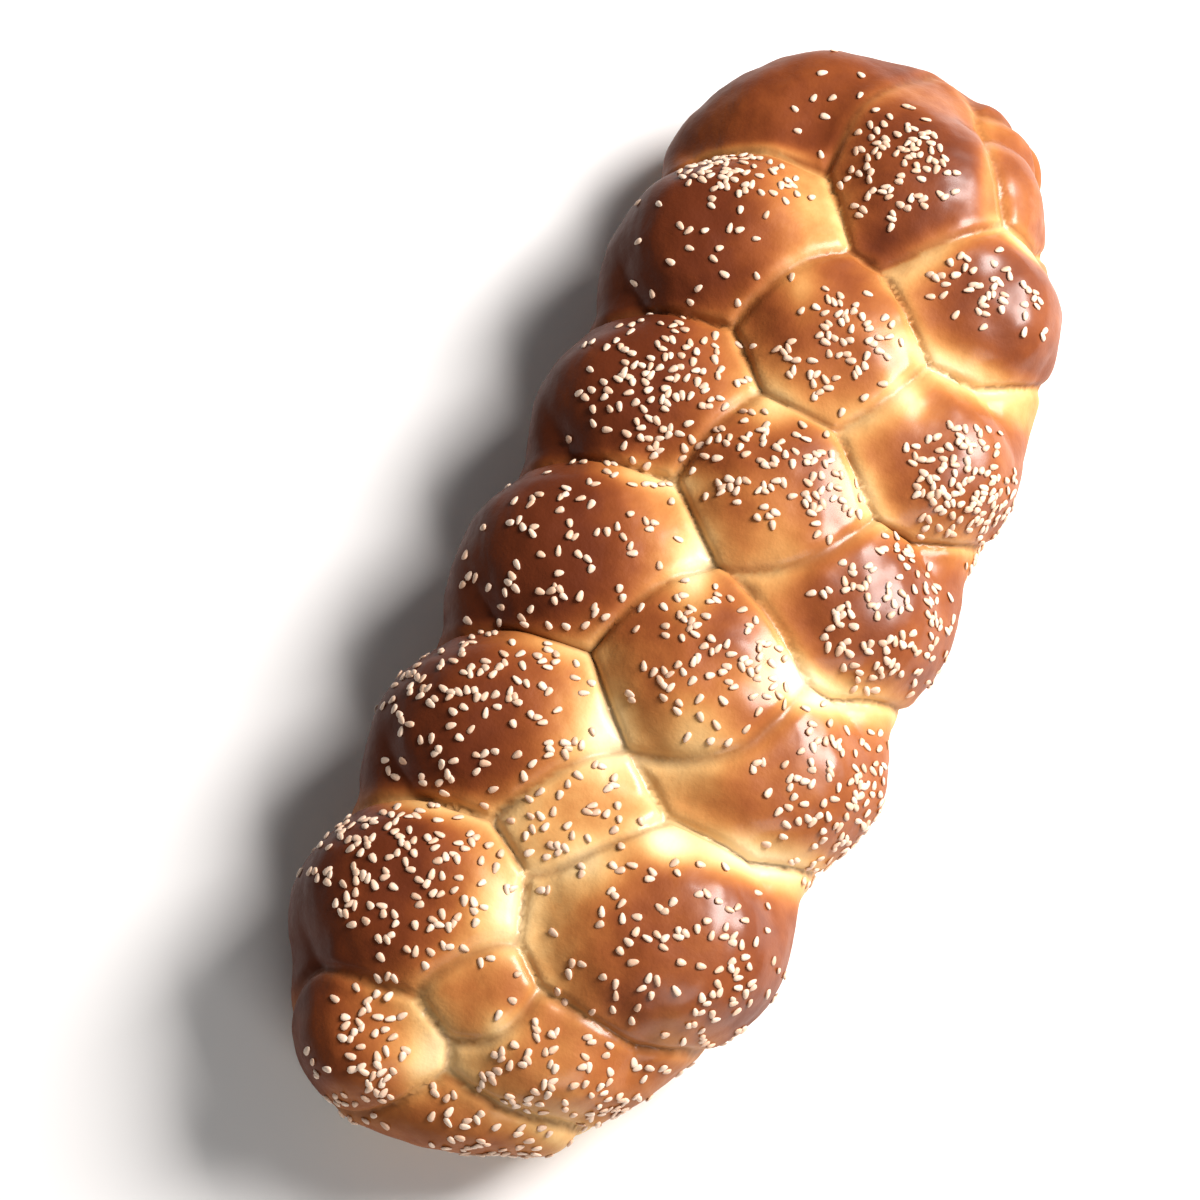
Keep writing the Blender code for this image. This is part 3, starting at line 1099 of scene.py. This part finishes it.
@dataclass
class SeedMaker:
    """Makes the seeds' mesh by Geometry Nodes on the crust."""

    seeds: Seeds = field(default_factory=Seeds)

    def grain(self) -> bpy.types.Object:
        """One seed, flat and pointed at one end, with its belly in the crust."""
        seeds = self.seeds
        mesh = bpy.data.meshes.new("grain")
        shape = bmesh.new()
        rows = []
        for ring in range(1, seeds.rings):
            turn = math.pi * ring / seeds.rings
            x = -math.cos(turn) * seeds.length / 2
            girth = math.sin(turn) ** 0.8 * (1 - 0.28 * math.cos(math.pi - turn))
            row = []
            for step in range(seeds.around):
                angle = 2 * math.pi * step / seeds.around
                y = math.cos(angle) * girth * seeds.width / 2
                z = math.sin(angle) * girth * seeds.thickness / 2 + seeds.thickness * seeds.lift
                row.append(shape.verts.new((x * MM, y * MM, z * MM)))
            rows.append(row)
        z = seeds.thickness * seeds.lift * MM
        tips = [shape.verts.new((side * seeds.length / 2 * MM, 0, z)) for side in (-1, 1)]
        for row, after in zip(rows, rows[1:]):
            for k in range(seeds.around):
                n = (k + 1) % seeds.around
                shape.faces.new((row[k], row[n], after[n], after[k]))
        for k in range(seeds.around):
            n = (k + 1) % seeds.around
            shape.faces.new((tips[0], rows[0][n], rows[0][k]))
            shape.faces.new((tips[1], rows[-1][k], rows[-1][n]))
        bmesh.ops.recalc_face_normals(shape, faces=shape.faces)
        shape.to_mesh(mesh)
        shape.free()
        mesh.shade_smooth()
        obj = linked("grain", mesh)
        return obj

    def tree(self) -> bpy.types.NodeTree:
        """The tree that sprinkles grains where the crust's "seeding" attribute says."""
        tree, board, given, out = group_tree(
            "sesame_sprinkler",
            "GeometryNodeTree",
            {
                "Geometry": "NodeSocketGeometry",
                "Grain": "NodeSocketObject",
                "Finish": "NodeSocketMaterial",
                "Spacing": "NodeSocketFloat",
                "Most": "NodeSocketFloat",
                "Draw": "NodeSocketInt",
            },
            {"Geometry": "NodeSocketGeometry"},
        )
        sockets, lean = given.outputs, self.seeds.lean
        seeding = board.add("GeometryNodeInputNamedAttribute", {"Name": "seeding"})
        points = board.add(
            "GeometryNodeDistributePointsOnFaces",
            {
                "Mesh": sockets["Geometry"],
                "Distance Min": sockets["Spacing"],
                "Density Max": sockets["Most"],
                "Density Factor": seeding.outputs["Attribute"],
                "Seed": sockets["Draw"],
            },
            distribute_method="POISSON",
        )
        yaw = board.add("FunctionNodeRandomValue", data_type="FLOAT_VECTOR")
        yaw.inputs[0].default_value = (-lean, -lean, 0.0)
        yaw.inputs[1].default_value = (lean, lean, 2 * math.pi)
        turn = board.add("FunctionNodeEulerToRotation", {"Euler": yaw.outputs[0]})
        rotation = board.add(
            "FunctionNodeRotateRotation",
            {"Rotation": points.outputs["Rotation"], "Rotate By": turn.outputs["Rotation"]},
            rotation_space="LOCAL",
        )
        size = board.add("FunctionNodeRandomValue", data_type="FLOAT_VECTOR")
        size.inputs[0].default_value = (0.82, 0.85, 0.85)
        size.inputs[1].default_value = (1.10, 1.12, 1.15)
        info = board.add("GeometryNodeObjectInfo", {"Object": sockets["Grain"]})
        grains = board.add(
            "GeometryNodeInstanceOnPoints",
            {
                "Points": points.outputs["Points"],
                "Instance": info.outputs["Geometry"],
                "Rotation": rotation.outputs[0],
                "Scale": size.outputs[0],
            },
        )
        tone = board.add("FunctionNodeRandomValue", data_type="FLOAT")
        toned = board.add(
            "GeometryNodeStoreNamedAttribute",
            {"Geometry": grains.outputs[0], "Name": "tone", "Value": tone.outputs[1]},
            data_type="FLOAT",
            domain="INSTANCE",
        )
        real = board.add("GeometryNodeRealizeInstances", {"Geometry": toned.outputs[0]})
        dressed = board.add(
            "GeometryNodeSetMaterial",
            {"Geometry": real.outputs[0], "Material": sockets["Finish"]},
        )
        tree.links.new(dressed.outputs[0], out.inputs["Geometry"])
        return tree

    def make(self, crust: bpy.types.Object, finish: bpy.types.Material) -> bpy.types.Object:
        """Sprinkles the crust.

        Args:
            crust: The crust, with its "seeding" attribute.
            finish: The seeds' material.

        Returns:
            One plain mesh object that holds every seed.
        """
        grain, tree = self.grain(), self.tree()
        bed = linked("seed_bed", crust.data)
        sprinkle = bed.modifiers.new("sprinkle", "NODES")
        sprinkle.node_group = tree
        values = {
            "Grain": grain,
            "Finish": finish,
            "Spacing": self.seeds.spacing * MM,
            "Most": self.seeds.most / MM**2,
            "Draw": self.seeds.drawn,
        }
        for item in tree.interface.items_tree:
            if item.name in values:
                sprinkle[item.identifier] = values[item.name]
        graph = bpy.context.evaluated_depsgraph_get()
        mesh = bpy.data.meshes.new_from_object(bed.evaluated_get(graph))
        mesh.name = "sesame_seeds"
        for name in ("clearance", "seeding", "bake", "pale", "wash"):
            mesh.attributes.remove(mesh.attributes[name])
        mesh.materials.clear()
        mesh.materials.append(finish)
        mesh.polygons.foreach_set("material_index", [0] * len(mesh.polygons))
        bpy.data.objects.remove(bed)
        bpy.data.objects.remove(grain)
        obj = linked("sesame_seeds", mesh)
        return obj


@dataclass
class Studio:
    """A pale floor, soft lights and the camera."""

    heading: float = 25.854
    elevation: float = 72.0
    distance: float = 0.95
    view_width: float = 22.85
    aim: tuple[float, float, float] = (-0.0040, -0.0109, 0.035)
    slide: tuple[float, float] = (-0.02624, 0.00288)
    floor_size: float = 4.0
    air: float = 0.13

    def axes(self) -> tuple[Vector, Vector, Vector]:
        """The camera's right, up and forward directions."""
        turn, tilt = math.radians(self.heading), math.radians(self.elevation)
        ahead = Vector((-math.sin(turn), math.cos(turn), 0))
        right = Vector((math.cos(turn), math.sin(turn), 0))
        sky = Vector((0, 0, 1))
        up = math.sin(tilt) * ahead + math.cos(tilt) * sky
        forward = math.cos(tilt) * ahead - math.sin(tilt) * sky
        return right, up, forward

    def camera(self) -> bpy.types.Object:
        """Looks down along the loaf, with the loaf right of the middle."""
        right, up, forward = self.axes()
        data = bpy.data.cameras.new("camera")
        data.sensor_fit = "HORIZONTAL"
        data.angle = math.radians(self.view_width)
        data.clip_start = 0.01
        obj = linked("camera", data)
        place = Vector(self.aim) - self.distance * forward
        place += self.slide[0] * right + self.slide[1] * up
        turned = Matrix((right, up, -forward)).transposed().to_4x4()
        turned.translation = place
        obj.matrix_world = turned
        bpy.context.scene.camera = obj
        return obj

    def light(self, name: str, away: tuple[float, float, float], size: float, power: float,
              colour: tuple[float, float, float]) -> bpy.types.Object:
        """A square soft light that faces the loaf.

        Args:
            name: The light's name.
            away: Metres to the camera's right, up the picture, and above the floor.
            size: Its side.
            power: Its watts.
            colour: Its tint.

        Returns:
            The light object.
        """
        right, up, _ = self.axes()
        ahead = Vector((up.x, up.y, 0)).normalized()
        data = bpy.data.lights.new(name, "AREA")
        data.energy = power
        data.size = size
        data.color = colour
        obj = linked(name, data)
        obj.location = away[0] * right + away[1] * ahead + Vector((0, 0, away[2]))
        obj.rotation_euler = (-obj.location).to_track_quat("-Z", "Y").to_euler()
        return obj

    def floor(self) -> bpy.types.Object:
        """The pale floor."""
        half = self.floor_size / 2
        mesh = bpy.data.meshes.new("floor")
        corners = [(-half, -half, 0), (half, -half, 0), (half, half, 0), (-half, half, 0)]
        mesh.from_pydata(corners, [], [(0, 1, 2, 3)])
        obj = linked("floor", mesh)
        made, _, shader = principled("floor")
        shader.inputs["Base Color"].default_value = (0.88, 0.88, 0.88, 1)
        shader.inputs["Roughness"].default_value = 0.9
        mesh.materials.append(made)
        return obj

    def build(self) -> None:
        """Sets up the floor, the lights, the air and the camera."""
        self.floor()
        self.camera()
        self.light("window", (1.0, 0.42, 1.0), 0.7, 52, (1.0, 0.95, 0.92))
        self.light("lamp", (0.5, -1.3, 1.1), 0.8, 9, (1.0, 0.97, 0.94))
        world = bpy.data.worlds.new("air")
        world.use_nodes = True
        world.node_tree.nodes["Background"].inputs[0].default_value = (1, 1, 1, 1)
        world.node_tree.nodes["Background"].inputs[1].default_value = self.air
        bpy.context.scene.world = world
        bpy.context.scene.view_settings.view_transform = "Standard"


def main() -> None:
    """Builds the loaf and its seeds, and sets up the studio around them."""
    logging.basicConfig(level=logging.INFO, format="%(name)s: %(message)s", stream=sys.stdout)
    effects = Effects().build()
    loaf = Crust()
    crust = loaf.make()
    crust.data.materials.append(CRUST.material(effects))
    LOG.info("crust: %d vertices, %d faces", len(crust.data.vertices), len(crust.data.polygons))
    seeds = SeedMaker().make(crust, SESAME.material(effects))
    LOG.info("seeds: %d vertices, %d faces", len(seeds.data.vertices), len(seeds.data.polygons))
    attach(crust, "root")
    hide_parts("loaf")
    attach(seeds, "root")
    Studio().build()


if __name__ == "__main__":
    main()
